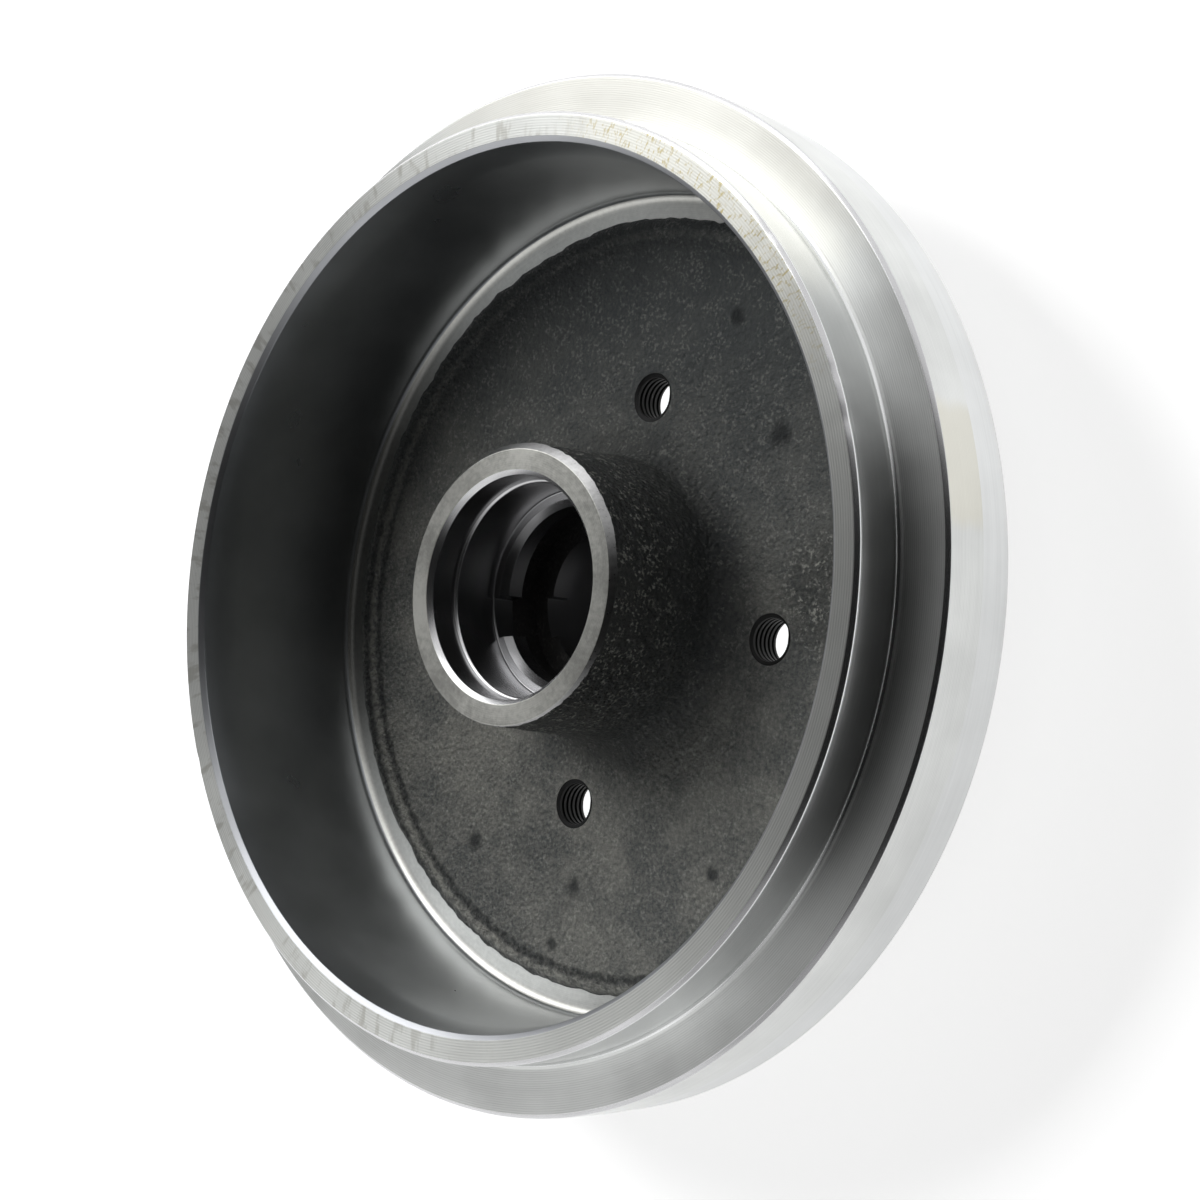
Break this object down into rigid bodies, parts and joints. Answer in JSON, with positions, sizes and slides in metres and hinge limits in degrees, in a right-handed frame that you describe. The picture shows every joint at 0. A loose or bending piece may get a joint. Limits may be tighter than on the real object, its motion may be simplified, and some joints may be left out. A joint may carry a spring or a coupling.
{
  "type": "brake drum",
  "caption": "Rear brake drum with the wheel hub cast in: an open friction ring, a web with threaded wheel bolt holes, and a bored hub nose for bearings.",
  "frame": {"origin": "centre of the wheel spigot's end face, on which the drum stands", "axes": "+Z along the axle towards the drum's open side, +X towards one wheel bolt hole"},
  "size_m": [0.2402, 0.2402, 0.072],
  "materials": {
    "cast_iron": "turned bright on the working faces, sand cast elsewhere"
  },
  "bodies": {
    "root": {"brake_drum": "cast_iron"}
  },
  "joints": []
}
